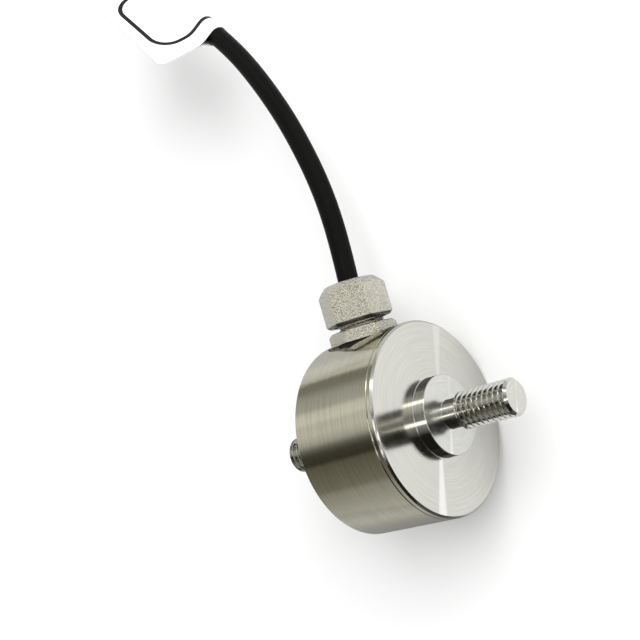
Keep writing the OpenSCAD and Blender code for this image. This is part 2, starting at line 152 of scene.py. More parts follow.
def skin(name, grid, bands=None, closed_rows=False, sharp=35):
    """Closed mesh of a grid of points: row i and row i + 1 are joined by a band of four-sided faces,
    and each row closes on itself. Where the rows don't close too, each end gets one flat cap or, if
    the whole end row is one point, a fan. Faces point outwards: the signed volume, one sixth of the
    sum of a . (b x c) over the triangles, is made positive. bands numbers the finish of each band,
    and edges that turn by more than sharp degrees stay sharp."""
    rows, columns = grid.shape[:2]
    points = grid.reshape(-1, 3)
    i = np.arange(rows if closed_rows else rows - 1)[:, None]
    j = np.arange(columns)[None, :]
    below, above = i * columns, (i + 1) % rows * columns
    beside = (j + 1) % columns
    quads = np.stack([below + j, below + beside, above + beside, above + j], -1).reshape(-1, 4)
    faces = quads.tolist()
    band = np.repeat(np.zeros(len(i), int) if bands is None else bands, columns).tolist()
    if not closed_rows:
        faces += [list(range(columns))[::-1], list(range((rows - 1) * columns, rows * columns))]
        band += [band[0], band[-1]]
    a, b, c, d = (points[quads[:, k]] for k in range(4))
    volume = np.sum(a * np.cross(b, c)) + np.sum(a * np.cross(c, d))
    if volume < 0:
        faces = [face[::-1] for face in faces]
    mesh = bpy.data.meshes.new(name)
    mesh.from_pydata((points * MM).tolist(), [], faces)
    mesh.polygons.foreach_set("material_index", band)
    mesh.polygons.foreach_set("use_smooth", [True] * len(faces))
    mesh.update()
    tidy(mesh)
    mesh.set_sharp_from_angle(angle=math.radians(sharp))
    return put(name, mesh)


def tidy(mesh):
    """Merges points that lie together, such as a pole's row, and drops the faces that vanish."""
    work = bmesh.new()
    work.from_mesh(mesh)
    bmesh.ops.remove_doubles(work, verts=work.verts, dist=1e-7)
    work.to_mesh(mesh)
    work.free()


def rounded(corners, radii, steps=5):
    """A profile whose corners are replaced by arcs: at each inner corner the two sides are left at
    the tangent length r * tan(half the turn), and the arc runs between those two points about the
    centre that lies r from both sides. The ends keep their points."""
    corners = np.asarray(corners, float)
    profile = [corners[:1]]
    for before, corner, after, r in zip(corners, corners[1:], corners[2:], radii):
        into, out = unit(corner - before), unit(after - corner)
        cross = into[0] * out[1] - into[1] * out[0]
        bend = math.atan2(abs(cross), into @ out)
        if r <= 0 or bend < 0.02:
            profile.append(corner[None])
            continue
        start = corner - into * r * math.tan(bend / 2)
        inward = np.array([-into[1], into[0]]) * np.sign(cross)
        angle = np.linspace(0, bend, steps + 1)[:, None]
        profile.append(start + r * (np.sin(angle) * into + (1 - np.cos(angle)) * inward))
    profile.append(corners[-1:])
    return np.concatenate(profile)


def around_x(radius, along, turns):
    """Points about the stud axis: radius and along have one row for each row of the grid."""
    return np.stack(np.broadcast_arrays(along, radius * np.cos(turns), radius * np.sin(turns)), -1)


def around_gland(radius, height, turns):
    """Points about the gland's axis, which stands along Y at gland_x."""
    x = gland_x + radius * np.cos(turns)
    return np.stack(np.broadcast_arrays(x, height, -radius * np.sin(turns)), -1)


def circle_of(count):
    """Angles of count points round a circle."""
    return np.arange(count) * 2 * np.pi / count


def dress(piece, looks, slot, *nodes):
    """Gives a piece its finishes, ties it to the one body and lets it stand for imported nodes."""
    for look in looks:
        piece.data.materials.append(look)
    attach(piece, "root")
    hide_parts(*nodes)
    return piece


# %% [markdown]
# ## Shader maths as Python
# A finish is built from expressions such as 1 - 0.4 * grain. One small class wraps a node's output
# and gives it the operators that are used. One method, node, adds every node of a tree.

# %% Shader helpers


class Value:
    """An output of a node tree that can be used in a sum or a product."""

    def __init__(self, bench, socket):
        self.bench = bench
        self.socket = socket

    def __add__(self, other):
        return self.bench.maths("ADD", self, other)

    def __sub__(self, other):
        return self.bench.maths("SUBTRACT", self, other)

    def __rsub__(self, other):
        return self.bench.maths("SUBTRACT", other, self)

    def __mul__(self, other):
        return self.bench.maths("MULTIPLY", self, other)

    def __truediv__(self, other):
        return self.bench.maths("DIVIDE", self, other)

    def __pow__(self, other):
        return self.bench.maths("POWER", self, other)

    def __abs__(self):
        return self.bench.maths("ABSOLUTE", self)

    __radd__ = __add__
    __rmul__ = __mul__


class Bench:
    """A node tree under construction."""

    def __init__(self, tree):
        self.tree = tree
        tree.nodes.clear()

    def node(self, kind, settings=None, sockets=None, out=0):
        """Adds one node: its settings first, then the values or links of its sockets."""
        made = self.tree.nodes.new(kind)
        for name, value in (settings or {}).items():
            if name == "stops":
                for stop, (place, colour) in zip(made.color_ramp.elements, value):
                    stop.position, stop.color = place, (*colour, 1)
                for place, colour in value[2:]:
                    made.color_ramp.elements.new(place).color = (*colour, 1)
            else:
                setattr(made, name, value)
        for name, value in (sockets or {}).items():
            if isinstance(value, Value):
                self.tree.links.new(value.socket, made.inputs[name])
            else:
                made.inputs[name].default_value = value
        return Value(self, made.outputs[out]) if made.outputs else None

    def place(self):
        """Object coordinates in millimetres."""
        here = self.node("ShaderNodeTexCoord", out="Object")
        return self.vector("SCALE", here, scale=1 / MM)

    def maths(self, operation, first, second=0.0):
        """One step of number maths. Steps such as a sine use the first number only."""
        return self.node("ShaderNodeMath", {"operation": operation}, {0: first, 1: second})

    def vector(self, operation, first, second=None, scale=None):
        """One step of vector maths. Dot products and lengths come out as a number."""
        sockets = {0: first}
        if second is not None:
            sockets[1] = second
        if scale is not None:
            sockets["Scale"] = scale
        out = 1 if operation in ("DOT_PRODUCT", "LENGTH") else 0
        return self.node("ShaderNodeVectorMath", {"operation": operation}, sockets, out)

    def axes(self, vector):
        """The three parts of a vector."""
        split = self.node("ShaderNodeSeparateXYZ", sockets={0: vector}).socket.node
        return [Value(self, socket) for socket in split.outputs]

    def join(self, x, y, z):
        """A vector from three parts."""
        return self.node("ShaderNodeCombineXYZ", sockets={0: x, 1: y, 2: z})

    def between(self, value, low, high, start=0.0, end=1.0):
        """Goes smoothly from start to end while the value goes from low to high."""
        sockets = {"Value": value, "From Min": low, "From Max": high, "To Min": start, "To Max": end}
        return self.node("ShaderNodeMapRange", {"interpolation_type": "SMOOTHSTEP"}, sockets)

    def blend(self, share, first, second):
        """Mixes two colours."""
        return self.node("ShaderNodeMix", {"data_type": "RGBA"}, {0: share, 6: first, 7: second}, out=2)

    def noise(self, vector, scale=1.0, detail=2.0, rough=0.5):
        """Soft noise from 0 to 1."""
        sockets = {"Vector": vector, "Scale": scale, "Detail": detail, "Roughness": rough}
        return self.node("ShaderNodeTexNoise", {}, sockets)

    def relief(self, height, distance, strength=1.0):
        """Bump of a height that is given in parts of the distance, in millimetres."""
        sockets = {"Height": height, "Distance": distance * MM, "Strength": strength}
        return self.node("ShaderNodeBump", {}, sockets)

    def surface(self, **sockets):
        """Ends the tree in a Principled shader with these sockets."""
        named = {name.replace("_", " "): value for name, value in sockets.items()}
        shader = self.node("ShaderNodeBsdfPrincipled", {}, named)
        self.node("ShaderNodeOutputMaterial", {}, {0: shader})


def finish(name):
    """A new material and the bench to build it on."""
    material = bpy.data.materials.new(name)
    material.use_nodes = True
    return material, Bench(material.node_tree)


def colour(red, green, blue):
    """A colour as a socket wants it."""
    return (red, green, blue, 1.0)


def mottled(name, low, high, pattern, rough, swing, grain=None, metal=0.0):
    """Soft mottle between two tones, which also lifts the roughness from rough by up to swing.
    pattern is the mottle's scale, detail and roughness. grain is the scale and the depth in
    millimetres of a fine relief."""
    look, bench = finish(name)
    mottle = bench.noise(bench.place(), *pattern)
    sockets = {"Base_Color": bench.blend(mottle, colour(*low), colour(*high)), "Metallic": metal,
               "Roughness": rough + swing * mottle}
    if grain:
        scale, depth = grain
        sockets["Normal"] = bench.relief(bench.noise(bench.place(), scale), depth, 0.4)
    bench.surface(**sockets)
    return look


# %% [markdown]
# ## Cable jacket
# The jacket is extruded black plastic: nearly black, satin, with faint streaks along it. The tube
# carries its own UV map with the distance along the cable, so the streaks follow every bend.

# %% Cable jacket finish


def jacket_finish():
    """Black satin plastic with streaks along the cable and a fine orange-peel skin."""
    look, bench = finish("cable jacket")
    u, v, _ = bench.axes(bench.node("ShaderNodeUVMap", {"uv_map": "grid"}))
    streaks = bench.noise(bench.join(u * 0.04, v * 9.0, 0.0), 1.0, 3)
    skin_noise = bench.noise(bench.place(), 2.6, 3)
    shade = bench.blend(streaks, colour(0.0012, 0.0012, 0.0014), colour(0.0065, 0.006, 0.0055))
    bump = bench.relief(skin_noise, 0.03, 0.35)
    bench.surface(Base_Color=shade, Roughness=0.36 + 0.14 * skin_noise, Normal=bump,
                  Specular_IOR_Level=0.08)
    return look


jacket = jacket_finish()

# %% [markdown]
# ## Cable
# About 2 m of 3.5 mm cable. It leaves the gland level and stays so by its own stiffness, then sinks
# to the table and ends in a neat coil of four layers, just past the top of the view. The free
# stretch follows listed points, and the coil's turns follow a rule.

# %% Path of the cable
route = np.array([
    [6.5, 25.4, 0], [6.75, 30, 0], [6.85, 35, 0], [6.55, 40, -0.05], [5.8, 45, -0.1],
    [4.65, 50, -0.15], [3.2, 55, -0.2], [1.3, 60, -0.3], [-0.9, 64.9, -0.4], [-3.5, 69.7, -0.55],
    [-6.6, 74.3, -0.75], [-10.6, 79.4, -1.15], [-14.6, 84.5, -1.55], [-18.6, 89.6, -1.95],
    [-22.6, 94.7, -2.35], [-26.7, 100, -3.4], [-30.6, 105.4, -5.3], [-34.3, 111, -7.8],
    [-37.9, 116.6, -10.2], [-41.3, 122.3, -12.1], [-44.6, 128.2, -13.25], [-47.7, 134.1, -13.65],
])
coil_centre = np.array([-26.0, 145.3])
tail_steps = np.array([
    [22.3, 8.8, -0.85], [22.9, 5, 0.4], [22.4, 1.4, 1.3], [21, -2, 1.75],
    [18.8, -5, 1.8], [15.8, -7.2, 1.9], [12.3, -8.6, 2], [8.6, -9, 2.1],
])
coil_columns = np.array([24.25, 20.75, 17.25, 13.75])
coil_lanes = len(coil_columns)
coil_layers = 4
coil_turns = 15.492
coil_entry = 207
layer_0_z = -13.65
coil_top = layer_0_z + (2 * coil_layers - 1) * cable_r
tail_route = np.array([*coil_centre, coil_top]) + tail_steps
points_per_turn = 60
move_share = 0.25


def eased(t):
    """0 before 0, 1 after 1, and 3 t^2 - 2 t^3 between."""
    t = np.clip(t, 0, 1)
    return t * t * (3 - 2 * t)


def coil_path():
    """Turns of the coil. A layer holds coil_lanes turns, laid inwards on even layers and outwards on
    odd ones. In its last part, which is move_share of it, a turn moves over to the next place."""
    t = np.linspace(0, coil_turns, int(coil_turns * points_per_turn) + 1)[1:]
    k = t.astype(int)
    step = eased((t - k - (1 - move_share)) / move_share)

    def lane(turn):
        layer, place = turn // coil_lanes, turn % coil_lanes
        column = np.where(layer % 2 == 0, place, coil_lanes - 1 - place)
        return coil_columns[column], layer_0_z + 2 * cable_r * layer

    last = coil_lanes * coil_layers - 1
    (r0, z0), (r1, z1) = lane(k), lane(np.minimum(k + 1, last))
    radius, height = r0 + (r1 - r0) * step, z0 + (z1 - z0) * step
    angle = np.radians(coil_entry) - 2 * np.pi * t
    x = coil_centre[0] + radius * np.cos(angle)
    y = coil_centre[1] + radius * np.sin(angle)
    return np.stack([x, y, height], -1)


def through(points, steps):
    """Smooth curve through points: on each span the cubic with slopes (next - previous) / 2."""
    padded = np.concatenate([2 * points[:1] - points[1:2], points, 2 * points[-1:] - points[-2:-1]])
    t = (np.arange(steps) / steps)[None, :, None]
    before, start, end, after = (padded[k:len(padded) - 3 + k, None] for k in range(4))
    curve = 0.5 * (2 * start + (end - before) * t + (2 * before - 5 * start + 4 * end - after) * t**2
                   + (3 * start - before - 3 * end + after) * t**3)
    return np.concatenate([curve.reshape(-1, 3), points[-1:]])


def distance_along(path):
    """Distance along a path from its first point to each of its points."""
    return np.concatenate([[0], np.cumsum(np.linalg.norm(np.diff(path, axis=0), axis=1))])


wound = coil_path()
span_steps = 4
inlet = through(np.concatenate([route, wound[1:4]]), span_steps)[:span_steps * (len(route) - 1) + 1]
outlet = through(np.concatenate([wound[-3:], tail_route]), span_steps)[2 * span_steps:]
cable_path = np.concatenate([inlet, wound[:-1], outlet])

# %% Cable mesh


def tube_grid(path, radius, sides):
    """Rings round a path. A ring's first axis is level, square to the path, and its second is the
    cross product of the two, so the tube never twists while the path isn't upright."""
    heading = unit(np.gradient(path, axis=0))
    across = unit(np.cross(heading, [0.0, 0.0, 1.0]))
    over = np.cross(across, heading)
    angle = circle_of(sides)
    radius = np.broadcast_to(radius, (len(path), sides))[..., None]
    ring = np.cos(angle)[:, None] * across[:, None] + np.sin(angle)[:, None] * over[:, None]
    return path[:, None] + radius * ring


def map_grid(piece, u, v):
    """UV map of a skinned grid: u has one number for each row, and v one for each column."""
    mesh = piece.data
    corner = np.zeros(len(mesh.loops), int)
    mesh.loops.foreach_get("vertex_index", corner)
    u, v = np.broadcast_arrays(u[:, None], v[None, :])
    layer = mesh.uv_layers.new(name="grid")
    layer.data.foreach_set("uv", np.stack([u.ravel()[corner], v.ravel()[corner]], -1).ravel())


cable_sides = 20
cable = skin("signal_cable", tube_grid(cable_path, cable_r, cable_sides), sharp=60)
map_grid(cable, distance_along(cable_path), np.arange(cable_sides) / cable_sides)
dress(cable, [jacket], "cable_jacket", "cable", "cable_coil", "cable_tail")

# %% [markdown]
# ## Turned steel
# A lathe leaves fine grooves round the axis: circles on a flat face, rings on a curved side. Each
# groove tilts the surface only across itself, so highlights spread across the grooves and stay
# narrow along them. The finish does the same: it tilts the normal by noise that changes only with
# the distance from the axis and along it.

# %% Turned steel finish
# Painted highlight: two bright rays across flat turned faces, painted into the base colour at this angle
# round the axis and in this colour.
highlight_ray_angle = math.radians(-67)
highlight_ray_across = (0.0, -math.cos(highlight_ray_angle), math.sin(highlight_ray_angle))
painted_ray_highlight = colour(0.92, 0.92, 0.87)


def turned_steel(name, tilt, rough, shade, grooves, scratches=0.0, satin=0.0, fan=0.0):
    """Steel with grooves round the X axis. With E the direction round the axis and N the normal, the
    tilt runs along T = E x N, so the new normal is the unit vector of N + tilt * noise * T. The
    noise has about as many grooves for each millimetre as given. scratches is the tilt of longer
    marks along X. A flat face can be rougher than the round parts by satin. fan is the strength of
    a painted highlight on a flat face: two bright rays painted into its base colour, one from the
    axis at highlight_ray_angle and a weaker one against it."""
    look, bench = finish(name)
    place = bench.place()
    x, y, z = bench.axes(place)
    radius = (y * y + z * z) ** 0.5
    outward = bench.node("ShaderNodeNewGeometry", out="Normal")
    across = bench.vector("NORMALIZE", bench.join(0.0, z * -1.0, y))
    tilt_way = bench.vector("CROSS_PRODUCT", across, outward)
    angle = bench.maths("ARCTAN2", y, z)
    fine = bench.noise(bench.join(x, radius, 0.0), grooves, 5, 0.7)
    broad = bench.noise(bench.join(x, radius, angle * 0.15), 1.7, 2)
    streak = bench.noise(bench.join(x * 5.0, radius * 5.0, angle * 1.6), 1.0, 3)
    amount = (fine - 0.5) * tilt + (broad - 0.5) * (0.04 * tilt)
    if scratches:
        long_marks = bench.noise(bench.join(x * 0.35, y * 3.0, z * 3.0), 1.3, 5, 0.7)
        amount = amount + (long_marks - 0.5) * scratches
    tilted = bench.vector("ADD", outward, bench.vector("SCALE", tilt_way, scale=amount))
    light, dark = shade
    tone = bench.blend(bench.between(streak, 0.3, 0.7), colour(*dark), colour(*light))
    facing, _, _ = bench.axes(outward)
    flat = bench.between(facing, 0.90, 0.99)
    # Painted highlight: where a flat face lies along the rays, its base colour turns to the bright ray
    # colour.
    lined = bench.vector("DOT_PRODUCT", across, highlight_ray_across)
    below = bench.between(lined, 0.9965, 1.0)
    above = bench.between(lined, -1.0, -0.997, 0.4, 0.0)
    tone = bench.blend(bench.maths("MAXIMUM", below, above) * flat * fan, tone, painted_ray_highlight)
    bench.surface(Base_Color=tone, Metallic=1.0, Roughness=rough + 0.10 * (streak - 0.5) + flat * satin,
                  Normal=bench.vector("NORMALIZE", tilted))
    return look


warm = ((0.66, 0.655, 0.615), (0.58, 0.575, 0.53))
# The side's tones are darker than the face's, partly for its coarser grooves and partly as painted shade on
# the side.
side_tone_and_shade = ((0.56, 0.548, 0.455), (0.47, 0.458, 0.37))
clear = ((0.70, 0.70, 0.67), (0.60, 0.60, 0.565))
dull = ((0.60, 0.595, 0.56), (0.50, 0.495, 0.455))
face_steel = turned_steel("turned face", 0.60, 0.12, warm, 55.0, fan=0.8)
side_steel = turned_steel("turned side", 0.45, 0.12, side_tone_and_shade, 14.0, 0.25)
hub_steel = turned_steel("polished hub", 0.03, 0.06, clear, 55.0, satin=0.16, fan=0.5)
thread_steel = turned_steel("cut thread", 0.04, 0.10, dull, 23.0)
print("steel finishes:", face_steel.name, side_steel.name, hub_steel.name, thread_steel.name)

# %% [markdown]
# ## Studs with a real thread
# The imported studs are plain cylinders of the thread's outer size. Here the M6 thread is cut into
# the surface itself: the radius of each point depends on its place along the screw line, so the
# crests show in the outline and catch the light one by one.

# %% Thread
thread_depth = 0.61
runout = 0.7
root_share, crest_share = 1 / 4, 1 / 8
thread_lead = 0.32
rows_per_pitch = 22
tip_h, tip_w = 0.4, 0.42


def groove_share(from_root):
    """Depth of a thread's groove as a share of its full depth. from_root is 0 at the middle of the
    root and 1 at the middle of the crest, and the flank between the two flats is straight."""
    return np.clip((1 - crest_share - from_root) / (1 - crest_share - root_share), 0, 1)


def screw_depth(along, turns, start, end):
    """How far the thread cuts below its outer size, in millimetres. The share of the pitch that has
    passed since the last crest is along / pitch - angle / 360, without its whole turns. The crest's
    flat is crest_share of the pitch wide and the root's flat root_share. The thread fades in over
    the run-out at the start and over half a pitch at the end."""
    share = (along / pitch - turns / (2 * np.pi)) % 1.0
    from_root = np.abs(share - 0.5) * 2
    fade = eased((along - start) / runout) * eased((end - along) / (0.5 * pitch) + 0.3)
    return thread_depth * groove_share(from_root) * fade


def stud_grid(profile, thread_start, thread_end, turns, sign=1):
    """Grid of a turned piece whose profile is given as rows of radius and place along X. Between
    thread_start and thread_end the thread's depth is taken off the radius. A stud that points
    against X has sign -1, and the two limits are then counted against X."""
    radius, along = profile[:, :1], profile[:, 1:]
    cut = screw_depth(sign * along, turns * sign, thread_start, thread_end)
    inside = (sign * along > thread_start) & (sign * along < thread_end)
    outer = radius > 0.85 * stud_r
    return around_x(radius - np.where(inside & outer, cut, 0), along, turns)


def stud_profile(face):
    """Profile of a hub and its stud from the hub's foot to the tip, as radius and place along X,
    and the distance from the face to the thread's start."""
    thread_start = hub_h + neck_l + thread_lead
    tip = stud_reach
    foot = rounded([[hub_r + 0.4, 0], [hub_r, 0], [hub_r, hub_h], [neck_r, hub_h], [neck_r, hub_h + neck_l],
                    [stud_r, thread_start], [stud_r, thread_start + 0.1]],
                   [0.12, 0.14, 0.12, 0.1, 0.05], 6)
    rows = int((tip - tip_h - thread_start) / pitch * rows_per_pitch)
    places = np.linspace(thread_start + 0.12, tip - tip_h - 0.02, rows)
    wall = np.column_stack([np.full(rows, stud_r), places])
    end = rounded([[stud_r, tip - tip_h - 0.01], [stud_r, tip - tip_h], [stud_r - tip_w, tip], [0, tip]],
                  [0, 0.06], 4)
    end = np.concatenate([end[:-1], [[1.6, tip], [0.8, tip], [0, tip]]])
    return np.concatenate([foot, wall, end[1:]]) + [0, face], thread_start


def flat_rows(x):
    """Rows of a flat face at x, from just inside its bevel to just outside the hub's foot."""
    return np.column_stack([np.linspace(body_r - 1.3, hub_r + 0.5, 9), np.full(9, x)])


def cell_bands(profile, face, sign):
    """Finish of each band of faces, from the distance out of the flat face: 1 on the body's side,
    2 on the hub and the neck, 3 on the thread, and 0 on the tip and everywhere else."""
    middle = (profile[1:] + profile[:-1]) / 2
    radius, out = middle[:, 0], sign * (middle[:, 1] - face)
    tests = [(radius > body_r - 0.05) & (out < -0.05), out > stud_reach - 0.02, out > thread_from - 0.2,
             out > 0.02]
    return np.select(tests, [1, 0, 3, 2], 0)


steel_columns = 288
turns_x = circle_of(steel_columns)[None, :]

# %% [markdown]
# ## Sensing disc
# One turned piece: the stiff core and the bending web inside, the rim in front of the seam, the
# face with its bright bevel, and the hub with the front stud.

# %% Sensing disc mesh
web_x = face_x - 2.0
core_r = 5.0
core_x = disc_low[0]
spigot_x = seam_x - spigot_l
seam_bevel = 0.12
face_bevel = 0.35

stud_part, thread_from = stud_profile(face_x)
disc_inside = rounded(
    [[0, core_x], [core_r, core_x], [core_r, web_x], [cavity_r, web_x], [cavity_r, spigot_x],
     [spigot_r - 0.02, spigot_x], [spigot_r - 0.02, seam_x], [body_r - seam_bevel, seam_x],
     [body_r, seam_x + seam_bevel], [body_r, face_x - face_bevel], [body_r - face_bevel, face_x],
     [body_r - 1.2, face_x]],
    [0.1, 0.3, 0.3, 0.05, 0.05, 0, 0.04, 0.04, 0.08, 0.08], 4)
disc_profile = np.concatenate([disc_inside, flat_rows(face_x), stud_part])
disc_grid = stud_grid(disc_profile, face_x + thread_from, front_tip - tip_h, turns_x)
disc = skin("sensing_disc", disc_grid, cell_bands(disc_profile, face_x, 1))
dress(disc, [face_steel, side_steel, hub_steel, thread_steel], "turned_steel", "sensing_element")
print("sensing disc faces:", len(disc.data.polygons))

# %% [markdown]
# ## Housing
# The other turned piece: a cup with the rear hub and the rear stud. Its side has the milled flat
# for the gland and the threaded hole below it, which two exact cuts take out of the turned shape.

# %% Housing mesh
end_wall = 2.4
boss_r = 5.5
boss_x = end_wall + 1.6
spot_r = 6.4
hole_r = 4.0
hole_bottom = 8.0
cut_top = body_r + 2

rear_part, _ = stud_profile(0.0)
rear_part = (rear_part * [1, -1])[::-1]
cup = rounded(
    [[body_r - 1.2, 0], [body_r - face_bevel, 0], [body_r, face_bevel], [body_r, seam_x - seam_bevel],
     [body_r - seam_bevel, seam_x], [spigot_r, seam_x], [spigot_r, spigot_x], [cavity_r, spigot_x],
     [cavity_r, end_wall], [boss_r, end_wall], [boss_r, boss_x], [0, boss_x]],
    [0.08, 0.08, 0.04, 0.04, 0, 0.05, 0.05, 0.3, 0.1, 0.1], 4)
housing_profile = np.concatenate([rear_part, flat_rows(0.0)[::-1], cup])
housing_grid = stud_grid(housing_profile, thread_from, stud_reach - tip_h, turns_x, -1)
housing = skin("cell_housing", housing_grid, cell_bands(housing_profile, 0.0, -1))


def cutter(name, radius, bottom, top):
    """A plain round bar on the gland's axis, used once to cut and then removed."""
    height = np.array([[bottom], [top]])
    return skin(name, around_gland(np.full((2, 1), radius), height, circle_of(144)[None, :]))


def carve(piece, tool):
    """Takes the tool's shape out of the piece, keeps the finishes and removes the tool."""
    cut = piece.modifiers.new("cut", "BOOLEAN")
    cut.operation, cut.solver, cut.object = "DIFFERENCE", "EXACT", tool
    depsgraph = bpy.context.evaluated_depsgraph_get()
    carved = bpy.data.meshes.new_from_object(piece.evaluated_get(depsgraph))
    piece.modifiers.remove(cut)
    old, piece.data = piece.data, carved
    bpy.data.meshes.remove(old)
    bpy.data.objects.remove(tool)


dress(housing, [side_steel, side_steel, hub_steel, thread_steel], "turned_steel", "housing")
carve(housing, cutter("spot cutter", spot_r, spot_y, cut_top))
carve(housing, cutter("hole cutter", hole_r, hole_bottom, cut_top))
housing.data.set_sharp_from_angle(angle=math.radians(30))
print("housing faces:", len(housing.data.polygons))

# %% [markdown]
# ## Nickel plating
# The gland is brass with bright nickel over it. The hexagon is a drawn bar, so its flats keep a
# fine grain that breaks the reflections into bright and dark specks, while the plating stays warm.

# %% Nickel finish


def nickel_plate(name, light, deep):
    """Bright warm metal with a fine grain in its relief: dimples of about 0.2 mm, whose slopes send
    the reflection far off, and a duller tone in the deepest of them. Near-black bands of painted
    shade sit in the gaps at the ends of the bare thread: one at the cap's mouth and a narrower one
    on top of the lower hexagon."""
    look, bench = finish(name)
    place = bench.place()
    cloud = bench.noise(place, 1.1, 2, 0.5)
    coarse = bench.noise(place, 2.9, 2, 0.5)
    fine = bench.noise(place, 5.5, 2, 0.6)
    grain = coarse * 0.4 + fine * 0.6
    tone = bench.blend(bench.between(grain, 0.36, 0.47), colour(*deep), colour(*light))
    _, y, _ = bench.axes(place)
    # Painted shade: near-black bands in the gap at the cap's mouth and on top of the lower hexagon.
    above = bench.between(abs(y - (cap_y + 0.12)), 0.16, 0.32, 0.9, 0.0)
    below = bench.between(abs(y - (hex_y + hex_t)), 0.06, 0.16, 0.8, 0.0)
    tone = bench.blend(bench.maths("MAXIMUM", above, below), tone, colour(0.03, 0.028, 0.022))
    bench.surface(Base_Color=tone, Metallic=1.0, Roughness=0.07 + 0.05 * cloud,
                  Normal=bench.relief(grain, 0.36))
    return look


nickel = nickel_plate("nickel plate", (0.82, 0.795, 0.70), (0.40, 0.365, 0.27))

# %% [markdown]
# ## Gland
# A hexagon with a turned bevel is the smaller of two shapes: the prism of its six flats and the
# turned outline. Both are written as a radius for each angle and height, and a soft minimum of
# the two gives the arcs at the bevels and small rounded edges at once.

# %% Hexagon surface
hex_af = 10.0
turned_r = hex_af / math.sqrt(3) + 0.05
edge_soft = 0.10
cap_turn = math.radians(29)
hex_turn = math.radians(36)
gland_columns = 360
turns_g = circle_of(gland_columns)[None, :]


def soft_min(a, b, soft):
    """The smaller of two values, with the corner between them rounded over the distance soft:
    min(a, b) - h^2 * soft / 4, where h = max(soft - |a - b|, 0) / soft."""
    h = np.maximum(soft - np.abs(a - b), 0) / soft
    return np.minimum(a, b) - h * h * soft / 4


def hexagon_radius(turns, turn):
    """Distance from the axis to the six flats: half the width across flats over the cosine of the
    angle to the nearest flat's middle, with the six edges softened."""
    middles = turn + np.radians(30 + 60 * np.arange(6))
    reach = 1e3 * np.ones_like(turns)
    for middle in middles:
        cosine = np.cos(turns - middle)
        flat = np.where(cosine > 0.3, hex_af / 2 / np.maximum(cosine, 0.3), 1e3)
        reach = soft_min(reach, flat, edge_soft)
    return reach


def fine_rows(profile, longest):
    """The same profile with rows added, so that no step is longer than given."""
    pieces = []
    for start, end in zip(profile[:-1], profile[1:]):
        count = max(1, int(np.ceil(np.linalg.norm(end - start) / longest)))
        share = (np.arange(count) / count)[:, None]
        pieces.append(start + (end - start) * share)
    return np.concatenate([*pieces, profile[-1:]])


def gland_grid(profile, turn, hex_from, hex_to):
    """Grid about the gland's axis. Between the two heights the radius is the soft minimum of the
    hexagon and the turned outline."""
    radius, height = profile[:, :1], profile[:, 1:]
    flats = hexagon_radius(turns_g, turn)
    in_hex = (height >= hex_from - 1e-6) & (height <= hex_to + 1e-6)
    shaped = np.where(in_hex, soft_min(radius, flats, edge_soft), radius + 0 * turns_g)
    return around_gland(shaped, height, turns_g)


# %% Gland body mesh
male_r = 3.95
bore_r = cable_r + 0.15
nose_top = hex_high[1]
stem_end = hex_low[1]
bush_r = 3.0
bush_y = 19.4
bevel_w = 0.6
bevel_h = 0.5
gland_pitch = 1.0
gland_groove = 0.42
row_step = 0.16

body_outline = rounded(
    [[bore_r, stem_end], [male_r - 0.3, stem_end], [male_r, stem_end + 0.3], [male_r, hex_y],
     [turned_r, hex_y], [turned_r, hex_y + hex_t - bevel_h], [turned_r - bevel_w, hex_y + hex_t],
     [male_r, hex_y + hex_t], [male_r, nose_top - 0.3], [male_r - 0.3, nose_top], [bush_r, nose_top],
     [bush_r, bush_y], [bore_r, bush_y], [bore_r, stem_end + 0.01]],
    [0, 0, 0.05, 0.05, 0.12, 0.1, 0.05, 0.05, 0.05, 0.05, 0.05, 0.05], 4)
body_rows = fine_rows(body_outline, row_step)
gland_body_grid = gland_grid(body_rows, hex_turn, hex_y, hex_y + hex_t)
row_r, row_y = body_rows[:, :1], body_rows[:, 1:]
threaded = (row_r > male_r - 0.1) & (row_r < male_r + 0.05)
threaded = threaded & (row_y > hex_y + hex_t + 0.05) & (row_y < nose_top - 0.3)
from_root = np.abs((row_y / gland_pitch - turns_g / (2 * np.pi)) % 1.0 - 0.5) * 2
cut_grid = around_gland(row_r - gland_groove * groove_share(from_root), row_y, turns_g)
gland_body_grid = np.where(threaded[..., None], cut_grid, gland_body_grid)
gland_body = skin("gland_base", gland_body_grid, closed_rows=True)
dress(gland_body, [nickel], "nickel_plate", "gland_body")

# %% Gland cap mesh
cap_roof = 1.7
mouth = 0.4
female_r = 4.0
slope_h, slope_w = 1.55, 1.6
cap_outline = rounded(
    [[female_r + mouth, cap_y], [turned_r - bevel_w, cap_y], [turned_r, cap_y + bevel_h],
     [turned_r, cap_top - slope_h], [turned_r - slope_w, cap_top], [bore_r, cap_top],
     [bore_r, cap_top - cap_roof], [female_r, cap_top - cap_roof], [female_r, cap_y + mouth],
     [female_r + mouth, cap_y + 0.001]],
    [0.1, 0.1, 0.5, 0.4, 0.25, 0.1, 0.1, 0.05], 8)
cap_grid = gland_grid(fine_rows(cap_outline, row_step), cap_turn, cap_y, cap_top)
gland_cap = skin("gland_nut", cap_grid, closed_rows=True)
dress(gland_cap, [nickel], "nickel_plate", "gland_cap")
print("gland faces:", len(gland_body.data.polygons), len(gland_cap.data.polygons))

# %% [markdown]
# ## Black rubber
# The gasket under the gland and the shrink sleeve on the cable's end are dull black, with a soft
# mottle. One function gives both their finish, and each has its own gloss.

# %% Gasket


def rubber_finish(name, rough):
    """Dull black with a soft mottle in its gloss and a faint grain."""
    black, grey_black = (0.006, 0.006, 0.006), (0.020, 0.019, 0.018)
    return mottled(name, black, grey_black, (1.4, 4, 0.6), rough, 0.25, (8.0, 0.04))


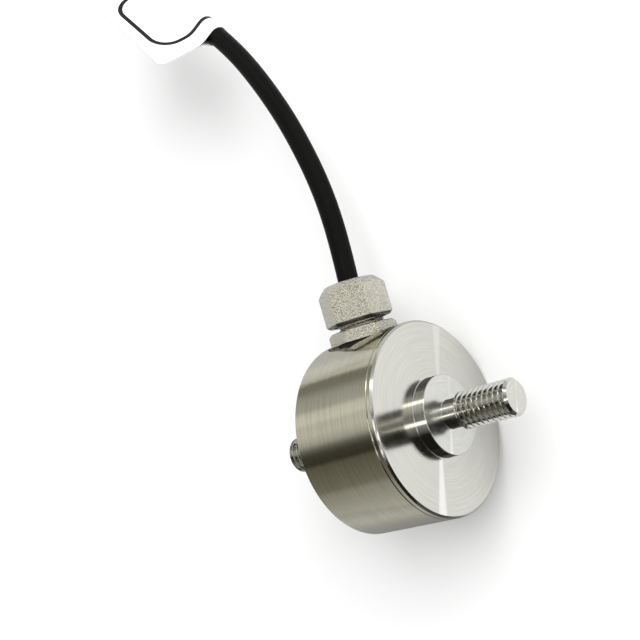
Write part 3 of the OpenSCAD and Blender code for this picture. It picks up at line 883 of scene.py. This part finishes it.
rubber = rubber_finish("black rubber", 0.475)
shrink = rubber_finish("shrink sleeve", 0.295)
gasket_inset = 0.4
gasket_r = (gasket_high[0] - gasket_low[0]) / 2 - gasket_inset
gasket_bore = female_r + 0.02
gasket_outline = rounded(
    [[gasket_bore, spot_y], [gasket_r, spot_y], [gasket_r, hex_y], [gasket_bore, hex_y],
     [gasket_bore, spot_y + 0.01]],
    [0.25, 0.25, 0.05], 6)
gasket_grid = around_gland(gasket_outline[:, :1], gasket_outline[:, 1:], turns_g)
gasket = skin("gasket", gasket_grid, closed_rows=True)
dress(gasket, [rubber], "black_rubber", "gland_gasket")

# %% [markdown]
# ## Flag tag
# A strip of white film, folded round the cable and stuck to itself. Its cross-section is one bent
# strip: the upper layer comes in from the free edge, sinks round the cable and goes back out as the
# lower layer. Its length map counts the distance along the film, so a border line can be drawn on it.

# %% Tag section
tag_start, tag_towards = route[10], route[14]
tag_along = unit(tag_towards - tag_start)
tag_offset = 1.3
tag_base = tag_start + tag_offset * tag_along
tag_length, tag_width, film_t, tag_corner = 24.0, 12.15, 0.125, 1.2
flat_from = 4.4
wrap_r = cable_r + 0.04 + film_t / 2
tag_slope = math.radians(55)
tag_level = unit(np.array([-tag_along[1], tag_along[0], 0.0]))
tag_out = math.cos(tag_slope) * tag_level + math.sin(tag_slope) * np.cross(tag_along, tag_level)
tag_normal = np.cross(tag_along, tag_out)


def cubic(a, b, c, d, steps):
    """Points of a cubic with ends a and d and handles b and c: (1-t)^3 a + 3 (1-t)^2 t b + ..."""
    t = np.linspace(0, 1, steps)[:, None]
    return (1 - t)**3 * a + 3 * (1 - t)**2 * t * b + 3 * (1 - t) * t**2 * c + t**3 * d


def film_line():
    """Middle line of the film from one free edge to the other, as (out, up) points. The layer meets
    the ring at leave degrees from the flag's plane and bends down to it in an easy curve."""
    leave = math.radians(62)
    gap = film_t / 2 + 0.004
    touch = wrap_r * np.array([math.cos(leave), math.sin(leave)])
    glide = touch + 1.3 * np.array([math.sin(leave), -math.cos(leave)])
    flat = np.column_stack([np.linspace(tag_width, flat_from + 0.4, 12), np.full(12, gap)])
    sink = cubic(np.array([flat_from, gap]), np.array([flat_from - 1.5, gap]), glide, touch, 12)
    ring_angle = np.linspace(leave, 2 * np.pi - leave, 34)[1:-1]
    ring = wrap_r * np.column_stack([np.cos(ring_angle), np.sin(ring_angle)])
    mirrored = np.concatenate([flat, sink])[::-1] * [1, -1]
    return np.concatenate([flat, sink, ring, mirrored])


# %% Tag mesh
line = film_line()
line_way = unit(np.gradient(line, axis=0))
line_side = np.column_stack([line_way[:, 1], -line_way[:, 0]])
film_loop = np.concatenate([line - line_side * film_t / 2, (line + line_side * film_t / 2)[::-1]])
line_length = distance_along(line)
film_total = line_length[-1]
loop_length = np.concatenate([line_length, line_length[::-1]])

corner_share = 1 - np.cos(np.linspace(0, np.pi / 2, 8))
near_rows = tag_corner * corner_share
tag_rows = np.concatenate([near_rows, np.linspace(tag_corner, tag_length - tag_corner, 40)[1:-1],
                           tag_length - near_rows[::-1]])
from_end = np.clip(tag_corner - np.minimum(tag_rows, tag_length - tag_rows), 0, tag_corner)
row_width = tag_width - tag_corner + np.sqrt(tag_corner**2 - from_end**2)
out = film_loop[None, :, 0]
squeeze = np.where(out > flat_from, (out - flat_from) / (tag_width - flat_from), 0)
out = out - squeeze * (tag_width - row_width)[:, None]
middle_share = 1 - (2 * tag_rows / tag_length - 1)**2
end_curl, middle_curl = 0.15, 0.4
curl = (end_curl + (middle_curl - end_curl) * middle_share)[:, None] * squeeze**2
up = film_loop[None, :, 1] + curl
tag_grid = (tag_base + tag_rows[:, None, None] * tag_along
            + out[..., None] * tag_out + up[..., None] * tag_normal)
tag = skin("flag_label", tag_grid, sharp=50)
map_grid(tag, tag_rows, loop_length)

# %% Tag finish
border_end, border_side, border_r, border_half = 3.6, 2.6, 4.0, 0.42


def film_finish():
    """White film with a black border line. The line is where the distance to a rounded rectangle is
    small: with q = |place - centre| - (half size - r), that distance is the length of the positive
    part of q, plus the smaller of 0 and the larger part of q, less r."""
    look, bench = finish("tag film")
    u, v, _ = bench.axes(bench.node("ShaderNodeUVMap", {"uv_map": "grid"}))
    half_u, half_v = tag_length / 2 - border_end, film_total / 2 - border_side
    q_u = abs(u - tag_length / 2) - (half_u - border_r)
    q_v = abs(v - film_total / 2) - (half_v - border_r)
    outside = bench.join(bench.maths("MAXIMUM", q_u), bench.maths("MAXIMUM", q_v), 0.0)
    larger = bench.maths("MAXIMUM", q_u, q_v)
    reach = bench.vector("LENGTH", outside) + bench.maths("MINIMUM", larger) - border_r
    line = bench.between(abs(reach), border_half - 0.04, border_half + 0.04, 1.0, 0.0)
    mottle = bench.noise(bench.place(), 0.5, 3)
    paper = bench.blend(mottle, colour(0.88, 0.88, 0.88), colour(0.93, 0.93, 0.925))
    shade = bench.blend(line, paper, colour(0.008, 0.008, 0.009))
    ripple = bench.noise(bench.place(), 0.35, 2)
    bench.surface(Base_Color=shade, Roughness=0.34 - 0.08 * line, Normal=bench.relief(ripple, 0.25, 0.3))
    return look


dress(tag, [film_finish()], "tag_film", "flag_tag")
print("film round the cable in mm:", round(film_total, 1))

# %% [markdown]
# ## Coil ties
# Two nylon straps hold the coil. Each follows the outline of the bundle, a square with round
# corners, and its width is a small share of the coil's turn. Fine teeth run across the strap.

# %% Ties
coil_low, coil_high = layer_0_z - cable_r, coil_top
coil_in, coil_out = coil_columns[-1] - cable_r, coil_columns[0] + cable_r
tie_t = 0.6
tie_gap = 0.02
tie_step = 0.9
tie_half = np.array([[-1, 0], [-1, 0.7], [-0.86, 1], [-0.4, 1]])
tie_section = np.concatenate([tie_half, [[0, 1]], tie_half[::-1] * [-1, 1]])
tie_half_angle = math.radians(4)


def tie_finish():
    """Black nylon with fine teeth across the strap: ridges that repeat every 0.7 mm of its length."""
    look, bench = finish("tie nylon")
    u, v, _ = bench.axes(bench.node("ShaderNodeUVMap", {"uv_map": "grid"}))
    teeth = bench.maths("PINGPONG", u, 0.35) / 0.35
    middle = bench.between(abs(v), 0.55, 0.65, 1.0, 0.0)
    cloud = bench.noise(bench.place(), 1.5, 3)
    shade = bench.blend(cloud, colour(0.010, 0.010, 0.011), colour(0.022, 0.022, 0.023))
    bench.surface(Base_Color=shade, Roughness=0.38 + 0.12 * cloud,
                  Normal=bench.relief(teeth * middle + 0.1 * cloud, 0.18, 0.8))
    return look


nylon = tie_finish()


def box_outline(grow, steps):
    """Round-cornered square outline of the bundle, grown by a distance: radius and height."""
    low_r, high_r, low_z, high_z = coil_in - grow, coil_out + grow, coil_low - grow, coil_high + grow
    middle_z = (low_z + high_z) / 2
    corners = [[low_r, middle_z], [low_r, low_z], [high_r, low_z], [high_r, high_z], [low_r, high_z],
               [low_r, middle_z]]
    return rounded(corners, [cable_r + grow] * 4, steps)[:-1]


def spread(loop, count):
    """Count points of a closed loop, spread evenly over its own points."""
    closed = np.concatenate([loop, loop[:1]])
    known = np.linspace(0, 1, len(closed))
    wanted = np.linspace(0, 1, count, endpoint=False)
    return np.column_stack([np.interp(wanted, known, closed[:, k]) for k in range(2)])


def tie(name, place, node):
    """Strap round the bundle: its section runs over the inner and the outer outline."""
    outlines = [fine_rows(box_outline(grow, 8), tie_step) for grow in (tie_gap, tie_t - tie_gap)]
    count = min(len(outline) for outline in outlines)
    inner, outer = (spread(outline, count) for outline in outlines)
    ring = inner[:, None] + (outer - inner)[:, None] * tie_section[None, :, 1:]
    angle = math.radians(place) + tie_section[None, :, 0] * tie_half_angle
    x = coil_centre[0] + ring[..., 0] * np.cos(angle)
    y = coil_centre[1] + ring[..., 0] * np.sin(angle)
    piece = skin(name, np.stack([x, y, ring[..., 1]], -1), closed_rows=True)
    map_grid(piece, distance_along(outer), tie_section[:, 0])
    return dress(piece, [nylon], "tie_plastic", node)


ties = [tie("coil_strap_near", 255, "coil_tie_2"), tie("coil_strap_far", 75, "coil_tie_1")]

# %% [markdown]
# ## Stripped end
# A shrink sleeve closes the jacket. Five leads fan out of it: four insulated ones with tinned tips,
# and the drain wire. A bare tip is seven twisted strands, so its section is a circle with seven
# bumps that turn along the wire.

# %% Sleeve
sleeve_at = tail_route[-1]
sleeve_l, sleeve_r = 10.5, 2.1
sleeve_outline = rounded(
    [[cable_r, 0], [cable_r + 0.14, 0], [sleeve_r - 0.04, 0.9], [sleeve_r - 0.02, sleeve_l - 2.2],
     [1.72, sleeve_l], [1.5, sleeve_l], [0, sleeve_l]], [0.05, 0.8, 1.2, 0.1, 0.1], 6)
sleeve_turns = circle_of(40)[None, :]
sleeve_x = sleeve_at[0] - sleeve_outline[:, 1:]
sleeve_grid = np.stack(np.broadcast_arrays(
    sleeve_x, sleeve_at[1] + sleeve_outline[:, :1] * np.cos(sleeve_turns),
    sleeve_at[2] + sleeve_outline[:, :1] * np.sin(sleeve_turns)), -1)
sleeve = skin("end_cover", sleeve_grid, sharp=40)
dress(sleeve, [shrink], "shrink_sleeve", "end_sleeve")

# %% Leads
lead_tips = {"red": (-21.5, -5.2), "green": (-22.5, -7.0), "white": (-22.8, -8.8),
             "black": (-22.2, -10.6), "shield": (-20.5, -12.0)}
lead_colours = {"red": (0.50, 0.010, 0.012), "green": (0.012, 0.19, 0.045), "white": (0.72, 0.71, 0.67),
                "black": (0.012, 0.012, 0.013), "shield": (0.62, 0.61, 0.58)}
lead_slots = {"red": "core_red", "green": "core_green", "white": "core_white", "black": "core_black",
              "shield": "tinned_wire"}
lead_r, bare_r, bare_l = 0.5, 0.28, 4.0
lead_sides, curve_rows, bare_rows = 28, 36, 40
strands, twist = 7, 2.2
lead_z = coil_top + lead_r


def deeper(shade):
    """A colour a fifth darker."""
    return [0.8 * part for part in shade]


def insulation(name, shade):
    """Glossy coloured plastic with a slight change of tone and a very faint ripple."""
    return mottled(name, deeper(shade), shade, (0.8, 3), 0.24, 0.16, (3.0, 0.02))


def wire_metal(name, shade):
    """Bare metal wire, a little uneven in tone and gloss."""
    return mottled(name, deeper(shade), shade, (4.0, 3), 0.22, 0.2, metal=1.0)


tinned = wire_metal("tinned wire", (0.72, 0.71, 0.69))
skins = {name: insulation(name + " insulation", shade) for name, shade in lead_colours.items()}


def lead(number, name):
    """One lead. It leaves the sleeve level and fans out to its tip on the coil."""
    start_angle = math.radians(90 + 72 * number)
    start = sleeve_at - [sleeve_l, 0, 0] + np.array([0, math.cos(start_angle), math.sin(start_angle)])
    tip = np.array([*(coil_centre + lead_tips[name]), lead_z])
    fan = unit(np.array([-20.0, tip[1] - start[1], 0.0]))
    skin_end = tip - bare_l * fan
    curve = cubic(start + [0.6, 0, 0], start - [5.4, 0, 0], skin_end - 8 * fan, skin_end, curve_rows)
    bare = skin_end + np.linspace(0.02, bare_l, bare_rows)[:, None] * fan
    path = np.concatenate([curve, bare])
    turns = circle_of(lead_sides)[None, :]
    distance = np.linspace(0, bare_l, bare_rows)[:, None]
    bumps = bare_r * (0.90 + 0.10 * np.abs(np.cos(strands / 2 * (turns - twist * distance))))
    bumps = bumps * np.clip((bare_l - distance) / 0.15 + 0.6, 0, 1)
    radius = np.concatenate([np.full((curve_rows, lead_sides), lead_r), bumps])
    bands = np.repeat([0, 1], [curve_rows, bare_rows - 1])
    piece = skin("lead_" + name + "_wire", tube_grid(path, radius, lead_sides), bands, sharp=50)
    cover = tinned if name == "shield" else skins[name]
    return dress(piece, [cover, tinned], lead_slots[name], "lead_" + name)


leads = [lead(number, name) for number, name in enumerate(lead_tips)]

# %% [markdown]
# ## Inside the cell
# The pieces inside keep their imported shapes. Each gets a finish of its own, so that a cut or an
# opened view shows foil, film, board, coating and wires and not plain colours.

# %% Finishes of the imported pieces


def silicone_finish():
    """Milky coating, poured on and set: a strong mottle that also stands in low relief."""
    look, bench = finish("silicone")
    mottle = bench.noise(bench.place(), 1.2, 4, 0.6)
    share = bench.between(mottle, 0.3, 0.7)
    tone = bench.blend(share, colour(0.62, 0.62, 0.58), colour(0.80, 0.80, 0.76))
    bench.surface(Base_Color=tone, Roughness=0.375 + 0.15 * mottle, Normal=bench.relief(mottle, 0.02, 0.4))
    return look


def gauge_finish():
    """Foil on amber film: the foil lies on the film's inner side, so the height parts the two."""
    look, bench = finish("strain gauge")
    x, _, _ = bench.axes(bench.place())
    foil = bench.between(x, web_x - 0.105, web_x - 0.10, 1.0, 0.0)
    cloud = bench.noise(bench.place(), 6.0, 3)
    film = bench.blend(cloud, colour(0.42, 0.20, 0.03), colour(0.55, 0.30, 0.06))
    metal = bench.blend(cloud, colour(0.62, 0.55, 0.44), colour(0.74, 0.67, 0.55))
    bench.surface(Base_Color=bench.blend(foil, film, metal), Metallic=foil, Roughness=0.42 - 0.14 * foil)
    return look


def board_finish():
    """Green laminate with a fine weave and round tinned pads where the cores and leads end."""
    look, bench = finish("terminal board")
    _, y, z = bench.axes(bench.place())
    weave = bench.between(bench.maths("SINE", y * 21.0) * bench.maths("SINE", z * 21.0), -1.0, 1.0)
    from_row = bench.maths("PINGPONG", z - 1.1, 1.1)
    pads = bench.between(bench.vector("LENGTH", bench.join(y - 4.4, from_row, 0.0)), 0.62, 0.68, 1.0, 0.0)
    green = bench.blend(weave, colour(0.010, 0.085, 0.030), colour(0.016, 0.125, 0.045))
    tone = bench.blend(pads, green, colour(0.70, 0.69, 0.66))
    bench.surface(Base_Color=tone, Metallic=pads, Roughness=0.34 + 0.06 * from_row,
                  Normal=bench.relief(weave, 0.02, 0.5))
    return look


def resistor_finish():
    """Tan ceramic body with tinned end caps and one dark red band."""
    look, bench = finish("trim resistor")
    _, y, _ = bench.axes(bench.place())
    share = (y + 1.2) / 2.4
    ends = bench.between(abs(y + 2.4), 0.93, 0.97)
    cloud = bench.noise(bench.place(), 3.0, 4)
    tan = bench.blend(cloud, colour(0.42, 0.27, 0.13), colour(0.55, 0.37, 0.19))
    ring = bench.between(abs(share + 0.3), 0.06, 0.08, 1.0, 0.0)
    body = bench.blend(ring, tan, colour(0.20, 0.03, 0.02))
    tone = bench.blend(ends, body, colour(0.70, 0.69, 0.66))
    bench.surface(Base_Color=tone, Metallic=ends, Roughness=0.40 - 0.1 * cloud)
    return look


gauge_look = gauge_finish()
resistor_look = resistor_finish()
enamel = wire_metal("enamelled copper", (0.62, 0.26, 0.10))
packed_looks = {
    **{f"strain_gauge_{n}": gauge_look for n in range(1, 5)},
    **{f"gauge_leads_{n}": enamel for n in range(1, 5)},
    **{f"trim_resistor_{n}": resistor_look for n in range(1, 4)},
    **{f"inner_core_{name}": skins[name] for name in ("red", "green", "white", "black")},
    "gauge_coating": silicone_finish(),
    "terminal_board": board_finish(),
    "strain_tie": nylon,
    "cable_entry": rubber_finish("jacket inside", 0.375),
    "gland_bush": rubber,
    "gland_slip_ring": wire_metal("slip ring", (0.70, 0.665, 0.56)),
}
for node, look in packed_looks.items():
    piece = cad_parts[node]
    piece.data.materials.clear()
    piece.data.materials.append(look)
print("packed pieces with a finish:", len(packed_looks))

# %% [markdown]
# ## Studio
# Steel shows the room more than itself, so the room is drawn with care. A round bar that lies along
# X mirrors the room in bands: all directions with the same y / (z + 0.82) show on the same line of
# the bar, seen from a high camera. So each half of the room, behind the cell and in front of it, is
# one colour ramp over that ratio. Light and dark clutter beside the camera shows only in a first
# reflection, on the flats of the gland. Dull surfaces get a plain sky, brighter on the lamp's side,
# and the camera itself sees white.

# %% World
camera_high, camera_aside = 0.82, 0.015
room_strength = 4.0
room_span = 1.25
far_wall = 0.55
clutter_way, clutter_dark, clutter_light = (0.50, 0.015, 0.86), 0.04, 1.9
sky_way, sky_lean, sky_level = (0.55, 0.60, 0.58), 0.8, 0.64
seen_white = 1.6
pale, brown, dusk = (1.0, 0.99, 0.93), (1.0, 0.95, 0.78), (1.0, 0.92, 0.72)
room_behind = [
    (-50, 0.80, pale), (-38, 0.60, pale), (-26, 0.42, pale), (-23, 0.27, brown), (-16, 0.22, brown),
    (-8, 0.17, dusk), (-6.5, 0.05, dusk), (-1, 0.08, dusk), (2, 0.2, pale), (5, 0.6, pale),
    (10, 0.85, pale), (15, 0.8, pale), (17.5, 1.0, pale), (22, 0.9, pale), (24, 0.6, pale),
    (31, 0.52, pale), (36, 0.30, pale), (41, 0.28, brown), (43.5, 0.9, pale), (50, 0.8, pale),
]
room_front = [
    (-50, 0.25, brown), (-45, 0.02, dusk), (-17, 0.02, dusk), (-10, 0.25, pale), (-3, 0.5, pale),
    (-1.5, 3.2, pale), (1.5, 3.2, pale), (3, 0.4, pale), (12, 0.35, pale), (18, 0.7, pale),
    (26, 1.0, pale), (28, 2.8, pale), (31, 2.8, pale), (33, 0.7, pale), (42, 0.45, pale),
    (50, 0.6, pale),
]


def room_ramp(bench, share, bands):
    """Colour ramp of half the room: each band is an angle on the bar, a level and a tint."""
    stops = [((math.tan(math.radians(angle)) + room_span) / (2 * room_span),
              tuple(level / room_strength * part for part in tint)) for angle, level, tint in bands]
    return bench.node("ShaderNodeValToRGB", {"stops": stops}, {0: share})


def grey(bench, level):
    """A neutral tone of the room, whose level is a number or a value of the tree."""
    part = level * (1 / room_strength)
    return bench.join(part, part, part)


def studio_world():
    """The room's colour for each direction, from the ratio that belongs to one line of a bar."""
    world = bpy.data.worlds.new("studio")
    world.use_nodes = True
    bpy.context.scene.world = world
    bench = Bench(world.node_tree)
    x, y, z = bench.axes(bench.node("ShaderNodeTexCoord", out="Generated"))
    ratio = (y + camera_aside) / (z + camera_high)
    share = (ratio + room_span) / (2 * room_span)
    in_front = bench.between(x, -0.25, 0.15)
    room = bench.blend(in_front, room_ramp(bench, share, room_behind), room_ramp(bench, share, room_front))
    room = bench.blend(bench.between(x, -0.95, -0.80, 1.0, 0.0), room, grey(bench, far_wall))
    way = bench.join(x, y, z)
    clutter = bench.between(bench.noise(way, 6.5, 1), 0.47, 0.53, clutter_dark, clutter_light)
    beside_camera = bench.between(bench.vector("DOT_PRODUCT", way, clutter_way), 0.86, 0.90)
    depth = bench.node("ShaderNodeLightPath", out="Glossy Depth")
    once = bench.between(depth, 1.4, 1.6, 1.0, 0.0)
    room = bench.blend(beside_camera * once, room, grey(bench, clutter))
    sky = (1.0 + sky_lean * bench.vector("DOT_PRODUCT", way, sky_way)) * sky_level
    dull = bench.node("ShaderNodeLightPath", out="Is Diffuse Ray")
    room = bench.blend(dull, room, grey(bench, sky))
    seen = bench.node("ShaderNodeLightPath", out="Is Camera Ray")
    room = bench.blend(seen, room, grey(bench, seen_white))
    light = bench.node("ShaderNodeBackground", {}, {"Color": room, "Strength": room_strength})
    bench.node("ShaderNodeOutputWorld", {}, {0: light})


studio_world()

# %% Table
# Painted shade in the board's image in the steel; the board itself is plain white.
board_white = 0.86
near_shade, far_shade, upper_shade = 0.30, 0.58, 0.15
front_tone, front_shade, front_far = 0.84, 0.08, 0.6
twice_seen = 0.15


def table_finish():
    """White paper board. For glossy rays its colour is painted shade: darker near the cell and behind
    it, near black below the front of the cell, and nearly black where steel mirrors steel."""
    look, bench = finish("white table")
    x, y, _ = bench.axes(bench.place())
    path = bench.node("ShaderNodeLightPath", out="Is Glossy Ray")
    depth = bench.node("ShaderNodeLightPath", out="Glossy Depth")
    far = bench.vector("LENGTH", bench.join(x - 5.0, y, 0.0))
    shaded = bench.between(far, 20, 110, near_shade, far_shade)
    shaded = shaded + bench.between(y, 0, 30, 0.0, upper_shade)
    lit = bench.between(y, -34, -24, front_shade, front_tone) * bench.between(y, 24, 40, 1.0, front_far)
    tone = shaded + bench.between(x, 8, 24) * (lit - shaded)
    tone = tone * bench.between(depth, 1.4, 1.6, 1.0, twice_seen)
    white = bench.join(board_white, board_white, board_white)
    bench.surface(Base_Color=bench.blend(path, white, bench.join(tone, tone, tone)), Roughness=0.7)
    return look


table_half = 1500
corners = np.array([[-1, -1], [1, -1], [1, 1], [-1, 1]]) * table_half
table_points = np.column_stack([corners, np.full(4, table_z)]) * MM
table_mesh = bpy.data.meshes.new("table")
table_mesh.from_pydata(table_points.tolist(), [], [[0, 1, 2, 3]])
table_mesh.materials.append(table_finish())
put("table", table_mesh)

# %% Lamp


def lamp(name, place, target, size, watts):
    """A square area light that faces its target: its own Z axis points away from it. The steel
    doesn't mirror it. Its size is in metres."""
    data = bpy.data.lights.new(name, "AREA")
    data.size = size
    data.energy = watts
    light = put(name, data)
    back = unit(np.array(place, float) - np.array(target, float))
    side = unit(np.cross([0.0, 1.0, 0.02], back))
    aim(light, side, np.cross(back, side), back, place)
    light.visible_glossy = False


lamp("top light", (420, 300, 520), (10, 10, 0), 0.5, 4.2)

# %% View transform
bpy.context.scene.view_settings.view_transform = "Standard"
